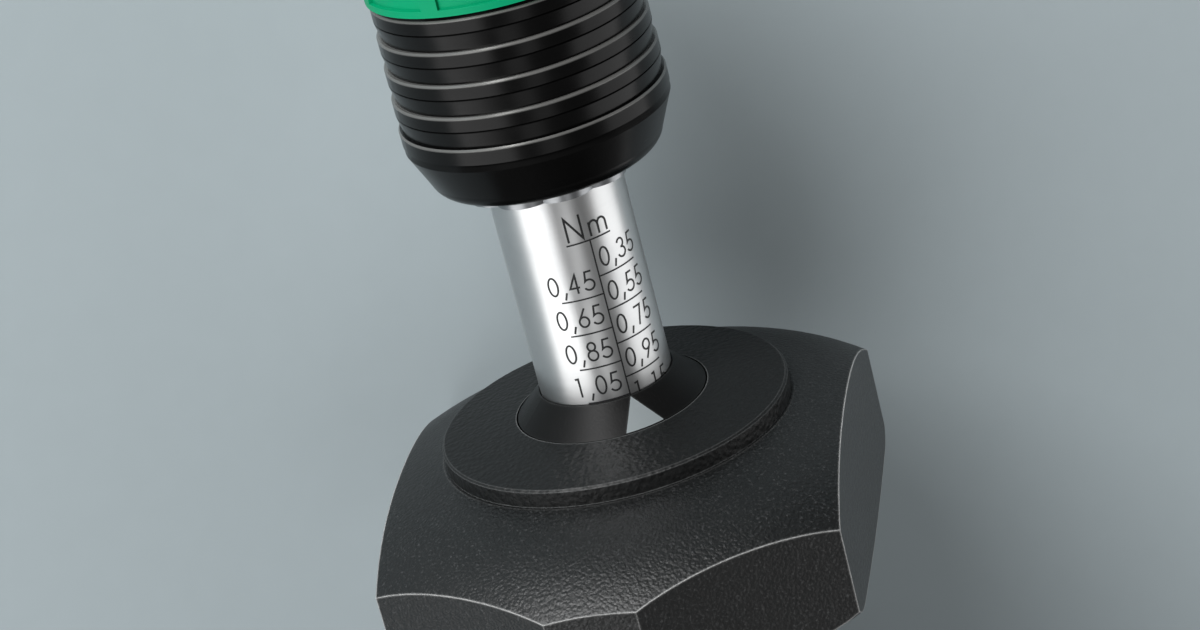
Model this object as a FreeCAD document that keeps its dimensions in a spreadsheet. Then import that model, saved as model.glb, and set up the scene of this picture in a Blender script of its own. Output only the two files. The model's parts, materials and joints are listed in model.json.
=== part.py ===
import FreeCAD, Part
import math
import os
import re
import Sketcher

# Adjustable torque screwdriver with a quick-release bit chuck, lying on its side.
#
# Every piece is modelled about the tool's own axis, the X axis: a station is a distance along it
# from the front face of the handle's disc, positive towards the tip, and a radius is measured from it.
# Angles about the axis start at +Y and turn towards +Z. The pieces are then laid down together: the
# handle's collar and bulb touch the ground plane, and the origin is under the middle of the tool.

SIZES = {
    # handle: collar and its front recess
    "disc_thickness": 1.27, "disc_radius": 12.18, "disc_edge": 0.15, "disc_hole_radius": 6.74,
    "disc_rise": 0.6,
    "recess_depth": 1.1, "recess_radius": 10.0, "flange_radius": 8.6,
    "shoulder_edge_radius": 12.4, "shoulder_slope_radius": 15.6, "shoulder_slope_drop": 0.85,
    "shoulder_round": 13.3, "collar_radius": 20.8, "collar_blank_radius": 21.2,
    "flank_front": -5.5, "flank_rear": -10.4, "collar_rear": -12.2, "collar_rear_round": 2.4,
    "collar_foot": -12.7, "collar_foot_radius": 14.2, "neck_round": 1.4, "neck_front": -13.8,
    "short_flat_half": 8.5, "medium_flat_end": 49.5, "collar_turn": 61.0,
    # handle: neck, bulb and end
    "waist_station": -27.0, "waist_radius": 10.8, "waist_round": 45.0,
    "bulb_station": -72.0, "bulb_radius": 20.3, "handle_rear": -97.0, "end_station": -107.0,
    "cap_round_start": -99.0, "facet_front": -52.0, "facet_length": 42.0,
    "bore_radius": 7.5, "web_rear": -4.0, "web_hole_radius": 5.2,
    "keyway_front": -44.5, "keyway_radius": 8.7, "keyway_width": 2.5, "key_clearance": 0.1,
    "pad_station": -71.0, "pad_length": 44.0, "pad_width": 12.0, "pad_depth": 1.4,
    "plug_length": 12.0, "plug_clearance": 0.05,
    # pointer ring and its mark
    "cone_top": 2.37, "cone_top_radius": 4.76, "cone_base_radius": 6.62, "cone_bore_radius": 4.68,
    "mark_half_width": 1.38, "mark_depth": 0.25, "mark_margin": 0.04,
    # scale sleeve
    "tube_radius": 4.6, "tube_front": 20.4, "tube_rear": -26.0, "tube_bore_radius": 3.6,
    "tube_chamfer": 0.3, "bush_length": 6.0, "running_gap": 0.05,
    "lobe_valley_radius": 5.45, "lobe_round": 2.14, "lobe_count": 10,
    "lobe_turn": 27.9, "adjuster_length": 2.9,
    "thrust_washer_radius": 5.5, "thrust_washer_thickness": 0.75,
    # thread bush, drag ring and main spring
    "bush_rear": -16.0, "thread_gap": 0.06, "drag_groove_front": -6.6, "drag_groove_width": 1.6,
    "drag_groove_radius": 5.95, "drag_ring_radius": 5.3, "drag_ring_wire": 0.62,
    "seat_thickness": 1.0, "seat_radius": 7.1, "seat_hole_radius": 4.9, "rear_seat_hole_radius": 3.3,
    "spring_radius": 5.9, "spring_wire": 0.9, "spring_pitch": 3.4, "spring_length": 30.0,
    # clutch
    "driver_front": -48.0, "driver_length": 6.0, "driver_radius": 7.4, "key_radius": 8.55,
    "ball_station": -54.55, "ball_radius": 1.1, "ball_pocket": 1.13, "ball_pitch_radius": 5.2,
    "ball_count": 6, "click_count": 12, "driven_front": -55.1, "driven_rear": -59.2,
    "driven_radius": 7.2, "hub_rear": -64.2, "hub_radius": 4.8, "cam_pin_station": -61.7,
    "cam_pin_radius": 1.0, "cam_pin_length": 9.4, "clip_thickness": 0.8, "clip_groove_radius": 2.5,
    "clip_radius": 4.4, "clip_gap": 2.0,
    # drive shaft and bit holder
    "shaft_radius": 3.0, "shaft_front": 28.0, "shaft_rear": -67.0, "shaft_chamfer": 0.4,
    "holder_rear": 22.0, "holder_front": 48.0, "holder_radius": 5.7, "nose_chamfer": 0.8,
    "holder_washer_radius": 6.2, "holder_washer_thickness": 0.8,
    "socket_across_flats": 6.4, "socket_bottom": 31.0, "socket_mouth_radius": 4.3,
    "socket_mouth_depth": 0.9, "magnet_radius": 2.9,
    "holder_pin_station": 25.0, "holder_pin_radius": 0.9, "holder_pin_length": 11.0,
    "lock_ball_station": 33.2, "lock_ball_radius": 1.35, "lock_ball_offset": 4.3, "lock_hole_radius": 1.38,
    "snap_groove_front": 41.9, "snap_thickness": 0.8, "snap_groove_radius": 5.2, "snap_radius": 6.4,
    "snap_gap": 3.0, "stop_washer_radius": 7.0, "stop_washer_thickness": 0.8,
    # chuck sleeve
    "sleeve_rear": 18.45, "sleeve_cavity_radius": 6.5, "sleeve_gap": 0.06, "sleeve_cavity_front": 22.05,
    "sleeve_end_radius": 7.38, "sleeve_end_round": 1.3, "sleeve_end_rise": 0.8, "sleeve_end_step": 0.62,
    "sleeve_cone_front": 21.6, "sleeve_cone_radius": 9.05, "last_rib_rear": 22.1,
    "relief_rear": 29.0, "relief_front": 32.0, "relief_radius": 6.4, "land_front": 34.5,
    "skirt_front": 38.6, "skirt_bore_radius": 7.2, "skirt_radius": 8.0,
    "rib_front": 31.9, "rib_pitch": 2.183, "rib_count": 5, "rib_radius": 8.76, "rib_growth": 0.085,
    "rib_edge": 0.1, "rib_band": 0.95, "rib_line": 0.12, "rib_line_depth": 0.09, "rib_taper": 0.2,
    "slide_ring_thickness": 0.8, "slide_ring_radius": 7.1,
    "chuck_spring_radius": 6.4, "chuck_spring_wire": 0.29, "chuck_spring_pitch": 1.4,
    # coloured ring
    "ring_rear": 32.2, "ring_front": 39.2, "ring_radius": 8.94, "ring_recess": 0.28,
    "ring_rim": 0.45, "ring_front_rim": 0.9, "ring_round": 0.35, "ring_lip_radius": 7.3,
    "ring_bar_width": 1.25, "ring_bar_count": 8, "ring_bar_turn": 41.9,
}

X_DIRECTION = FreeCAD.Vector(1, 0, 0)
KEY_COUNT = 3
PAD_ANGLES = (45, 135, 225, 315)
BULB_FACETS = 8
SHEET = "Sizes"

doc = FreeCAD.newDocument("TorqueScrewdriver")


def make_sheet():
    """Write every driving size to the sheet, one named cell each."""
    sheet = doc.addObject("Spreadsheet::Sheet", SHEET)
    for row, (name, size) in enumerate(SIZES.items(), start=1):
        sheet.set(f"A{row}", name)
        sheet.set(f"B{row}", str(size))
        sheet.setAlias(f"B{row}", name)
    doc.recompute()
    return sheet


def bound(expression):
    """Point each size that an expression names at its cell."""
    return re.sub(r"[a-z_]+", lambda word: f"{SHEET}.{word[0]}" if word[0] in SIZES else word[0], expression)


def value(expression):
    """Work out an expression of sizes as a plain number."""
    return float(sheet.evalExpression(bound(expression)))


def bind(target, prop, expression):
    """Tie a property to an expression of sizes."""
    target.setExpression(prop, bound(expression))


def polar(radius, degrees):
    """Return the Y and Z expressions of a point at a radius and an angle about the axis."""
    return (f"({radius}) * cos(({degrees}) * 1 deg)", f"({radius}) * sin(({degrees}) * 1 deg)")


# Sketches -------------------------------------------------------------------------------------------


class Arc:
    """A round stretch to the outline's next point; it bends left (1) or right (-1) of the way."""

    def __init__(self, radius, side):
        self.radius = radius
        self.side = side


def new_sketch(body, name, plane_role, offset=None):
    """Add a sketch on one of the body's own origin planes, set off along the plane's normal."""
    sketch = body.newObject("Sketcher::SketchObject", name)
    plane = next(item for item in body.Origin.OriginFeatures if item.Role == plane_role)
    sketch.AttachmentSupport = [(plane, "")]
    sketch.MapMode = "FlatFace"
    if offset is not None:
        bind(sketch, "AttachmentOffset.Base.z", offset)
    return sketch


def constrain(sketch, kind, *parts):
    """Add a dimension whose last part is the expression that it is bound to."""
    *geometry, expression = parts
    index = sketch.addConstraint(Sketcher.Constraint(kind, *geometry, value(expression)))
    bind(sketch, f"Constraints[{index}]", expression)


def arc_between(start, end, radius, side):
    """Return the short arc from start to end with its centre to the left (1) or right (-1)."""
    chord = end - start
    middle = (start + end) * 0.5
    left = FreeCAD.Vector(-chord.y, chord.x, 0).normalize()
    height = math.sqrt(radius ** 2 - (chord.Length / 2) ** 2)
    centre = middle + left * (side * height)
    first, last = (start, end) if side > 0 else (end, start)
    angles = [math.atan2(point.y - centre.y, point.x - centre.x) for point in (first, last)]
    return Part.ArcOfCircle(Part.Circle(centre, FreeCAD.Vector(0, 0, 1), radius), *angles)


def draw_outline(sketch, outline):
    """Draw a closed outline of (x, y) or (x, y, Arc) points, each bound to its expressions."""
    points = [FreeCAD.Vector(value(point[0]), value(point[1]), 0) for point in outline]
    count = len(outline)
    pieces = []
    for index, point in enumerate(outline):
        start = points[index]
        end = points[(index + 1) % count]
        if len(point) == 3:
            bend = point[2]
            piece = sketch.addGeometry(arc_between(start, end, value(bend.radius), bend.side))
            constrain(sketch, "Radius", piece, bend.radius)
            pieces.append((piece, 1, 2) if bend.side > 0 else (piece, 2, 1))
        else:
            pieces.append((sketch.addGeometry(Part.LineSegment(start, end)), 1, 2))
    for index, point in enumerate(outline):
        piece, first, last = pieces[index]
        following, next_first, _ = pieces[(index + 1) % count]
        sketch.addConstraint(Sketcher.Constraint("Coincident", piece, last, following, next_first))
        constrain(sketch, "DistanceX", -1, 1, piece, first, point[0])
        constrain(sketch, "DistanceY", -1, 1, piece, first, point[1])


def draw_circle(sketch, radius, x="0", y="0"):
    """Draw a circle bound to its radius and centre."""
    centre = FreeCAD.Vector(value(x), value(y), 0)
    circle = sketch.addGeometry(Part.Circle(centre, FreeCAD.Vector(0, 0, 1), value(radius)))
    constrain(sketch, "Radius", circle, radius)
    constrain(sketch, "DistanceX", -1, 1, circle, 3, x)
    constrain(sketch, "DistanceY", -1, 1, circle, 3, y)


# Features -------------------------------------------------------------------------------------------


def new_body(name):
    """Start a body that carries the name of its sub-part."""
    body = doc.addObject("PartDesign::Body", name)
    body.Label = name
    return body


def turned(body, name, outline):
    """Turn an outline of (station, radius) points about the axis."""
    sketch = new_sketch(body, f"{name}_outline", "XY_Plane")
    draw_outline(sketch, outline)
    feature = body.newObject("PartDesign::Revolution", name)
    feature.Profile = sketch
    feature.ReferenceAxis = (sketch, ["H_Axis"])
    feature.Angle = 360
    doc.recompute()
    return feature


def turned_body(name, outline):
    """Return a body that is one turned outline."""
    body = new_body(name)
    turned(body, f"{name}_turned", outline)
    return body


def ring_body(name, front, rear, hole_radius, radius):
    """Return a plain ring between two stations."""
    return turned_body(name, [(front, hole_radius), (front, radius), (rear, radius), (rear, hole_radius)])


def padded(body, name, sketch, length, reverse=False):
    """Pad a sketch along its normal, or against it."""
    feature = body.newObject("PartDesign::Pad", name)
    feature.Profile = sketch
    bind(feature, "Length", length)
    feature.Reversed = reverse
    doc.recompute()
    return feature


def pocketed(body, name, sketch, length=None):
    """Cut a sketch against its normal by a length, or through all both ways, and prove that it cut."""
    before = body.Shape.Volume
    feature = body.newObject("PartDesign::Pocket", name)
    feature.Profile = sketch
    if length is None:
        feature.Type = "ThroughAll"
        feature.Midplane = True
    else:
        bind(feature, "Length", length)
    doc.recompute()
    if body.Shape.Volume >= before:
        raise RuntimeError(f"{name} cuts nothing")
    return feature


def patterned(body, name, original, count):
    """Repeat a feature evenly about the axis."""
    axis = next(item for item in body.Origin.OriginFeatures if item.Role == "X_Axis")
    feature = body.newObject("PartDesign::PolarPattern", name)
    feature.Originals = [original]
    feature.Axis = (axis, [""])
    feature.Angle = 360
    feature.Occurrences = count
    body.Tip = feature
    doc.recompute()
    return feature


def cut_round_hole(body, name, station, radius):
    """Drill straight through the axis along Z."""
    sketch = new_sketch(body, f"{name}_outline", "XY_Plane")
    draw_circle(sketch, radius, station, "0")
    return pocketed(body, name, sketch)


def cut_ball_pockets(body, name, count):
    """Sink a ring of ball pockets on the clutch's ball circle."""
    before = body.Shape.Volume
    pocket = body.newObject("PartDesign::SubtractiveSphere", name)
    bind(pocket, "Radius", "ball_pocket")
    bind(pocket, "AttachmentOffset.Base.x", "ball_station")
    bind(pocket, "AttachmentOffset.Base.z", "ball_pitch_radius")
    pocket.AttachmentSupport = [(next(i for i in body.Origin.OriginFeatures if i.Role == "XY_Plane"), "")]
    pocket.MapMode = "FlatFace"
    doc.recompute()
    patterned(body, f"{name}_ring", pocket, count)
    if body.Shape.Volume >= before:
        raise RuntimeError(f"{name} cuts nothing")


def coil(name, front, rear, radius, wire, pitch):
    """Return a compression spring whose ends are ground flat at two stations."""
    body = new_body(f"{name}_wire")
    sketch = new_sketch(body, f"{name}_section", "XY_Plane")
    draw_circle(sketch, wire, f"({front}) + ({wire}) * 0.4", radius)
    helix = body.newObject("PartDesign::AdditiveHelix", f"{name}_helix")
    helix.Profile = sketch
    helix.ReferenceAxis = (sketch, ["H_Axis"])
    helix.Mode = "pitch-height-angle"
    helix.Reversed = True
    bind(helix, "Pitch", pitch)
    bind(helix, "Height", f"({front}) - ({rear}) + ({wire}) * 0.8")
    doc.recompute()
    envelope = new_body(f"{name}_envelope")
    section = new_sketch(envelope, f"{name}_envelope_outline", "YZ_Plane", rear)
    draw_circle(section, f"({radius}) + ({wire}) * 2")
    padded(envelope, f"{name}_envelope_pad", section, f"({front}) - ({rear})")
    lay(body)
    lay(envelope)
    spring = doc.addObject("Part::Common", name)
    spring.Base = body
    spring.Tool = envelope
    spring.Label = name
    return spring


def split_ring(name, front, thickness, hole_radius, radius, gap):
    """Return a snap ring with a gap at the side."""
    body = ring_body(name, front, f"({front}) - ({thickness})", hole_radius, radius)
    sketch = new_sketch(body, f"{name}_gap_outline", "YZ_Plane", front)
    half = f"({gap}) / 2"
    far = f"({radius}) + 1"
    draw_outline(sketch, [("0", f"-{half}"), (far, f"-{half}"), (far, half), ("0", half)])
    pocketed(body, f"{name}_gap", sketch, thickness)
    return body


# Handle ---------------------------------------------------------------------------------------------


def outer_profile():
    """Work out where the neck's arc meets the bulb's, and the radii at the end cap's seams."""
    reach = value("waist_station - bulb_station")
    rise = value("bulb_radius - waist_radius")
    bulb_round = (reach ** 2 + rise ** 2) / (2 * rise) - value("waist_round")
    share = value("waist_round") / (value("waist_round") + bulb_round)
    centre = value("bulb_radius") - bulb_round

    def bulb_at(station):
        return centre + math.sqrt(bulb_round ** 2 - (station - value("bulb_station")) ** 2)

    def waist_at(station):
        drop = math.sqrt(value("waist_round") ** 2 - (station - value("waist_station")) ** 2)
        return value("waist_radius + waist_round") - drop

    lean = (value("cap_round_start") - value("bulb_station")) / bulb_round
    cap_round = (value("cap_round_start - end_station")) / (1 + lean)
    flat = bulb_at(value("cap_round_start")) - cap_round * math.sqrt(1 - lean ** 2)
    return {
        "join": f"{value('waist_station') - reach * share:.6f}",
        "join_radius": f"{value('waist_radius') + rise * share:.6f}",
        "neck_radius": f"{waist_at(value('neck_front')):.6f}",
        "bulb_round": f"{bulb_round:.6f}",
        "seam_radius": f"{bulb_at(value('handle_rear')):.6f}",
        "cap_start_radius": f"{bulb_at(value('cap_round_start')):.6f}",
        "cap_round": f"{cap_round:.6f}",
        "end_flat_radius": f"{flat:.6f}",
    }


def collar_corners():
    """Return the angles of the collar's eight corners, the same twice over, half a turn apart."""
    short = value("short_flat_half")
    medium = value("medium_flat_end")
    turn = value("collar_turn")
    half = [short, medium, 180 - medium, 180 - short]
    return [turn + angle for angle in half] + [turn + 180 + angle for angle in half]


def cut_to_prism(body, name, front, length, corners, radius):
    """Trim a stretch of the body to the prism through the corners."""
    sketch = new_sketch(body, f"{name}_outline", "YZ_Plane", front)
    draw_circle(sketch, "collar_radius * 1.5")
    draw_outline(sketch, [polar(radius, angle) for angle in corners])
    return pocketed(body, name, sketch, length)


def make_handle_form(profile):
    """Turn the handle, trim the collar to its flats and the bulb to its facets, and cut the keyways."""
    body = new_body("handle_form")
    shoulder = "-disc_thickness"
    floor = "-disc_thickness - recess_depth"
    turned(body, "handle_turned", [
        (floor, "web_hole_radius"),
        (floor, "recess_radius"),
        (shoulder, "recess_radius"),
        (shoulder, "shoulder_edge_radius"),
        ("-disc_thickness - shoulder_slope_drop", "shoulder_slope_radius", Arc("shoulder_round", 1)),
        ("flank_front", "collar_blank_radius"),
        ("flank_rear", "collar_blank_radius", Arc("collar_rear_round", 1)),
        ("collar_rear", "collar_blank_radius - 2.2"),
        ("collar_foot", "collar_foot_radius", Arc("neck_round", -1)),
        ("neck_front", profile["neck_radius"], Arc("waist_round", -1)),
        (profile["join"], profile["join_radius"], Arc(profile["bulb_round"], 1)),
        ("handle_rear", profile["seam_radius"]),
        ("handle_rear", "bore_radius"),
        ("web_rear", "bore_radius"),
        ("web_rear", "web_hole_radius"),
    ])
    cut_to_prism(body, "collar_flats", "0", "-neck_front", collar_corners(), "collar_radius")
    facet_angles = [360 * (index + 0.5) / BULB_FACETS for index in range(BULB_FACETS)]
    corner_radius = f"{rest_height() / math.cos(math.pi / BULB_FACETS):.6f}"
    cut_to_prism(body, "bulb_facets", "facet_front", "facet_length", facet_angles, corner_radius)
    keyway = new_sketch(body, "keyway_outline", "YZ_Plane", "keyway_front")
    half = "keyway_width / 2"
    draw_outline(keyway, [
        (f"-{half}", "0"), (half, "0"), (half, "keyway_radius"), (f"-{half}", "keyway_radius")])
    first = pocketed(body, "keyway", keyway, "keyway_front - handle_rear")
    patterned(body, "keyways", first, KEY_COUNT)
    return lay(body)


def rest_height():
    """Return how high the axis lies: the distance from it to the collar's medium flats."""
    half = math.radians((value("medium_flat_end") - value("short_flat_half")) / 2)
    return value("collar_radius") * math.cos(half)


def make_pad_zone(profile):
    """Return the skin of the bulb that the soft pads are cut from."""
    body = new_body("pad_zone")
    inner_round = f"{profile['bulb_round']} - pad_depth"
    front = "pad_station + pad_length / 2 + 1"
    rear = "pad_station - pad_length / 2 - 1"
    bulb_centre = f"(bulb_radius - {profile['bulb_round']})"

    def outer(station):
        return f"{bulb_centre} + sqrt({profile['bulb_round']}^2 - (({station}) - bulb_station)^2)"

    def inner(station):
        return f"{bulb_centre} + sqrt(({inner_round})^2 - (({station}) - bulb_station)^2)"

    turned(body, "pad_zone_turned", [
        (front, outer(front), Arc(profile["bulb_round"], 1)),
        (rear, outer(rear)),
        (rear, inner(rear), Arc(inner_round, -1)),
        (front, inner(front)),
    ])
    facet_angles = [360 * (index + 0.5) / BULB_FACETS for index in range(BULB_FACETS)]
    corner_radius = f"{rest_height() / math.cos(math.pi / BULB_FACETS):.6f}"
    cut_to_prism(body, "pad_zone_facets", "facet_front", "facet_length", facet_angles, corner_radius)
    return lay(body)


def make_grip_pads(zone):
    """Return the four soft pads, each a long oval patch of the bulb's skin."""
    pads = []
    for number, angle in enumerate(PAD_ANGLES, start=1):
        cutter = new_body(f"pad_cutter_{number}")
        sketch = new_sketch(cutter, f"pad_cutter_{number}_outline", "XY_Plane")
        straight = "(pad_length - pad_width) / 2"
        half = "pad_width / 2"
        front = f"pad_station + {straight}"
        rear = f"pad_station - {straight}"
        draw_outline(sketch, [
            (rear, f"-{half}"),
            (front, f"-{half}", Arc(f"{half} * 1.0001", 1)),
            (front, half),
            (rear, half, Arc(f"{half} * 1.0001", 1)),
        ])
        padded(cutter, f"pad_cutter_{number}_pad", sketch, "bulb_radius * 1.2")
        lay(cutter, angle - 90)
        pad = doc.addObject("Part::Common", f"grip_pad_{number}")
        pad.Base = zone
        pad.Tool = cutter
        pad.Label = f"grip_pad_{number}"
        pads.append(pad)
    return pads


def make_handle_body(form, pads):
    """Return the moulded handle with the seats of the soft pads cut in."""
    doc.recompute()
    tools = doc.addObject("Part::MultiFuse", "pad_seats")
    tools.Shapes = pads
    handle = doc.addObject("Part::Cut", "handle_body")
    handle.Base = form
    handle.Tool = tools
    handle.Label = "handle_body"
    return handle


def make_front_disc():
    """Return the flat disc on the collar's front; its boss sits in the recess."""
    under = "-disc_thickness"
    boss = "-disc_thickness - recess_depth + 0.05"
    return lay(turned_body("front_disc", [
        ("disc_rise", "disc_hole_radius"),
        ("0", "disc_radius - disc_edge"),
        ("-disc_edge", "disc_radius"),
        (under, "disc_radius"),
        (under, "recess_radius"),
        (boss, "recess_radius"),
        (boss, "flange_radius + 0.05"),
        (under, "flange_radius + 0.05"),
        (under, "disc_hole_radius"),
    ]))


def make_end_cap(profile):
    """Return the domed cap whose plug closes the handle's bore."""
    return lay(turned_body("end_cap", [
        ("handle_rear + plug_length", "0"),
        ("handle_rear + plug_length", "bore_radius - plug_clearance"),
        ("handle_rear", "bore_radius - plug_clearance"),
        ("handle_rear", profile["seam_radius"], Arc(profile["bulb_round"], 1)),
        ("cap_round_start", profile["cap_start_radius"], Arc(profile["cap_round"], 1)),
        ("end_station", profile["end_flat_radius"]),
        ("end_station", "0"),
    ]))


def make_pointer_ring():
    """Return the cone round the scale sleeve and, let into it, the triangle that the scale is read at."""
    ring = lay(turned_body("pointer_ring_form", [
        ("cone_top", "cone_bore_radius"),
        ("cone_top", "cone_top_radius"),
        ("disc_rise", "cone_base_radius"),
        ("-disc_thickness", "cone_base_radius"),
        ("-disc_thickness", "flange_radius"),
        ("-disc_thickness - recess_depth", "flange_radius"),
        ("-disc_thickness - recess_depth", "cone_bore_radius"),
    ]))
    slope = "(cone_base_radius - cone_top_radius) / (cone_top - disc_rise)"
    skin = lay(turned_body("mark_skin", [
        ("cone_top - mark_margin", "cone_bore_radius + mark_margin"),
        ("cone_top - mark_margin", f"cone_top_radius + mark_margin * {slope}"),
        ("disc_rise + mark_margin", f"cone_base_radius - mark_margin * {slope}"),
        ("disc_rise + mark_margin", f"cone_base_radius - mark_margin * {slope} - mark_depth * 1.5"),
        ("cone_top - mark_depth", "cone_bore_radius + mark_margin"),
    ]))
    wedge = new_body("mark_wedge")
    sketch = new_sketch(wedge, "mark_wedge_outline", "XY_Plane")
    draw_outline(sketch, [
        ("disc_rise + mark_margin", "-mark_half_width"),
        ("cone_top - mark_margin", "0"),
        ("disc_rise + mark_margin", "mark_half_width"),
    ])
    padded(wedge, "mark_wedge_pad", sketch, "cone_base_radius * 1.2")
    lay(wedge)
    mark = doc.addObject("Part::Common", "pointer_mark")
    mark.Base = skin
    mark.Tool = wedge
    mark.Label = "pointer_mark"
    cone = doc.addObject("Part::Cut", "pointer_ring")
    cone.Base = ring
    cone.Tool = mark
    cone.Label = "pointer_ring"
    return [cone, mark]


def make_thread_bush():
    """Return the nut in the handle's nose that the scale sleeve's thread runs in."""
    bore = "tube_radius + thread_gap"
    groove_rear = "drag_groove_front - drag_groove_width"
    return lay(turned_body("thread_bush", [
        ("web_rear", bore),
        ("web_rear", "bore_radius"),
        ("bush_rear", "bore_radius"),
        ("bush_rear", bore),
        (groove_rear, bore),
        (groove_rear, "drag_groove_radius"),
        ("drag_groove_front", "drag_groove_radius"),
        ("drag_groove_front", bore),
    ]))


def make_drag_ring():
    """Return the rubber ring whose drag holds the set torque."""
    ring = doc.addObject("Part::Torus", "drag_ring")
    ring.Label = "drag_ring"
    bind(ring, "Radius1", "drag_ring_radius")
    bind(ring, "Radius2", "drag_ring_wire")
    ring.Placement = FreeCAD.Placement(FreeCAD.Vector(), FreeCAD.Rotation(FreeCAD.Vector(0, 1, 0), 90))
    bind(ring, "Placement.Base.x", f"drag_groove_front - drag_groove_width / 2 + {middle_shift():.6f}")
    bind(ring, "Placement.Base.z", f"{rest_height():.6f}")
    return ring


# Scale sleeve ---------------------------------------------------------------------------------------


def make_scale_tube():
    """Return the tube that carries the scale and turns in the thread bush."""
    return lay(turned_body("scale_tube", [
        ("tube_front", "tube_bore_radius"),
        ("tube_front", "tube_radius"),
        ("tube_rear + tube_chamfer", "tube_radius"),
        ("tube_rear", "tube_radius - tube_chamfer"),
        ("tube_rear", "tube_bore_radius"),
    ]))


def make_tube_bushes():
    """Return the two plain bearings that centre the shaft in the tube."""
    hole = "shaft_radius + running_gap"
    front = ring_body("tube_bush_front", "tube_front", "tube_front - bush_length", hole, "tube_bore_radius")
    rear = ring_body("tube_bush_rear", "tube_rear + bush_length", "tube_rear", hole, "tube_bore_radius")
    return [lay(front), lay(rear)]


def make_adjusting_collar():
    """Return the lobed collar on the tube's front end, which the tube is turned by."""
    body = new_body("adjusting_collar")
    sketch = new_sketch(body, "adjusting_collar_outline", "YZ_Plane", "tube_front")
    pitch = 360 / SIZES["lobe_count"]
    valleys = [f"lobe_turn + {pitch * index}" for index in range(SIZES["lobe_count"])]
    draw_outline(sketch, [(*polar("lobe_valley_radius", angle), Arc("lobe_round", 1)) for angle in valleys])
    draw_circle(sketch, "tube_radius")
    padded(body, "adjusting_collar_pad", sketch, "adjuster_length", reverse=True)
    return lay(body)


def make_thrust_washer():
    """Return the bronze washer between the turning tube and the shaft's holder."""
    front = "tube_front + thrust_washer_thickness"
    washer = ring_body(
        "thrust_washer", front, "tube_front", "shaft_radius + running_gap", "thrust_washer_radius")
    return lay(washer)


# Spring and clutch ----------------------------------------------------------------------------------


def make_spring_seats():
    """Return the two washers that the main spring bears on."""
    front = ring_body(
        "front_spring_seat", "bush_rear", "bush_rear - seat_thickness", "seat_hole_radius", "seat_radius")
    rear = ring_body(
        "rear_spring_seat", "driver_front + seat_thickness", "driver_front",
        "rear_seat_hole_radius", "seat_radius")
    return [lay(front), lay(rear)]


def make_main_spring():
    """Return the spring whose squeeze sets the torque."""
    return coil(
        "main_spring", "bush_rear - seat_thickness", "driver_front + seat_thickness",
        "spring_radius", "spring_wire", "spring_pitch")


def make_driver_cam():
    """Return the clutch half that is keyed to the handle."""
    body = new_body("driver_cam")
    rear = "driver_front - driver_length"
    turned(body, "driver_turned", [
        ("driver_front", "shaft_radius + running_gap"),
        ("driver_front", "driver_radius"),
        (rear, "driver_radius"),
        (rear, "shaft_radius + running_gap"),
    ])
    sketch = new_sketch(body, "key_outline", "YZ_Plane", "driver_front")
    half = "(keyway_width / 2 - key_clearance)"
    draw_outline(sketch, [
        (f"-{half}", "driver_radius * 0.8"), (half, "driver_radius * 0.8"),
        (half, "key_radius"), (f"-{half}", "key_radius")])
    key = padded(body, "key", sketch, "driver_length", reverse=True)
    patterned(body, "keys", key, KEY_COUNT)
    cut_ball_pockets(body, "driver_pocket", SIZES["ball_count"])
    return lay(body)


def make_clutch_balls():
    """Return the ring of balls that carry the torque across the clutch."""
    balls = []
    for index in range(SIZES["ball_count"]):
        angle = math.radians(90 + 360 * index / SIZES["ball_count"])
        ball = doc.addObject("Part::Sphere", f"clutch_ball_{index + 1}")
        bind(ball, "Radius", "ball_radius")
        ball.Placement.Base = FreeCAD.Vector(
            value("ball_station") + middle_shift(),
            value("ball_pitch_radius") * math.cos(angle),
            value("ball_pitch_radius") * math.sin(angle) + rest_height())
        balls.append(ball)
    group = doc.addObject("Part::Compound", "clutch_balls")
    group.Links = balls
    group.Label = "clutch_balls"
    return group


def make_driven_cam():
    """Return the clutch half that is pinned to the shaft; it clicks at every pocket."""
    body = new_body("driven_cam")
    turned(body, "driven_turned", [
        ("driven_front", "shaft_radius"),
        ("driven_front", "driven_radius"),
        ("driven_rear", "driven_radius"),
        ("driven_rear", "hub_radius"),
        ("hub_rear", "hub_radius"),
        ("hub_rear", "shaft_radius"),
    ])
    cut_ball_pockets(body, "driven_pocket", SIZES["click_count"])
    cut_round_hole(body, "driven_pin_hole", "cam_pin_station", "cam_pin_radius")
    return lay(body)


# Shaft and bit holder -------------------------------------------------------------------------------


def make_drive_shaft():
    """Return the shaft from the clutch to the bit holder."""
    body = new_body("drive_shaft")
    groove_front = "hub_rear"
    groove_rear = "hub_rear - clip_thickness"
    turned(body, "drive_shaft_turned", [
        ("shaft_front", "0"),
        ("shaft_front", "shaft_radius - shaft_chamfer"),
        ("shaft_front - shaft_chamfer", "shaft_radius"),
        (groove_front, "shaft_radius"),
        (groove_front, "clip_groove_radius"),
        (groove_rear, "clip_groove_radius"),
        (groove_rear, "shaft_radius"),
        ("shaft_rear + shaft_chamfer", "shaft_radius"),
        ("shaft_rear", "shaft_radius - shaft_chamfer"),
        ("shaft_rear", "0"),
    ])
    cut_round_hole(body, "cam_pin_hole", "cam_pin_station", "cam_pin_radius")
    cut_round_hole(body, "holder_pin_hole", "holder_pin_station", "holder_pin_radius")
    return lay(body)


def make_cross_pin(name, station, radius, length):
    """Return a pin across the shaft."""
    body = new_body(name)
    sketch = new_sketch(body, f"{name}_outline", "XY_Plane", f"-({length}) / 2")
    draw_circle(sketch, radius, station, "0")
    padded(body, f"{name}_pad", sketch, length)
    return lay(body)


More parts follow.
